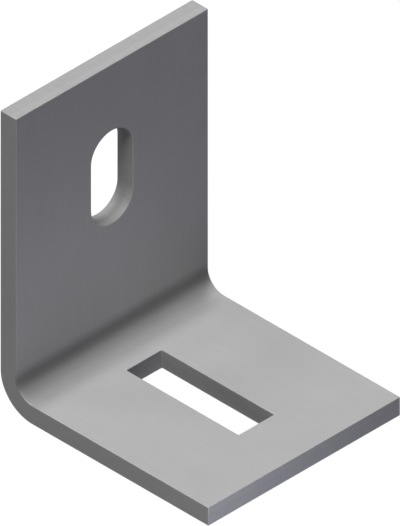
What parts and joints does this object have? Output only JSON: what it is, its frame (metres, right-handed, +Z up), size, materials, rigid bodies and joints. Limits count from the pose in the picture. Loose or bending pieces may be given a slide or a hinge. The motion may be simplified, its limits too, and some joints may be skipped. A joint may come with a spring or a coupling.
{
  "type": "strut angle fitting",
  "caption": "Folded steel plate at right angles that bolts a strut to a wall or floor, with a round-ended slot in the upright leg and a rectangular slot in the foot.",
  "frame": {"origin": "middle of the fitting's footprint, on the plane that the foot stands on", "axes": "+Z up along the upright leg, +Y towards the upright's outside face with the foot pointing to -Y, +X along the fold"},
  "size_m": [0.06, 0.065, 0.08],
  "materials": {
    "zinc_plated_steel": "satin"
  },
  "bodies": {
    "root": {"angle_fitting": "zinc_plated_steel"}
  },
  "joints": []
}
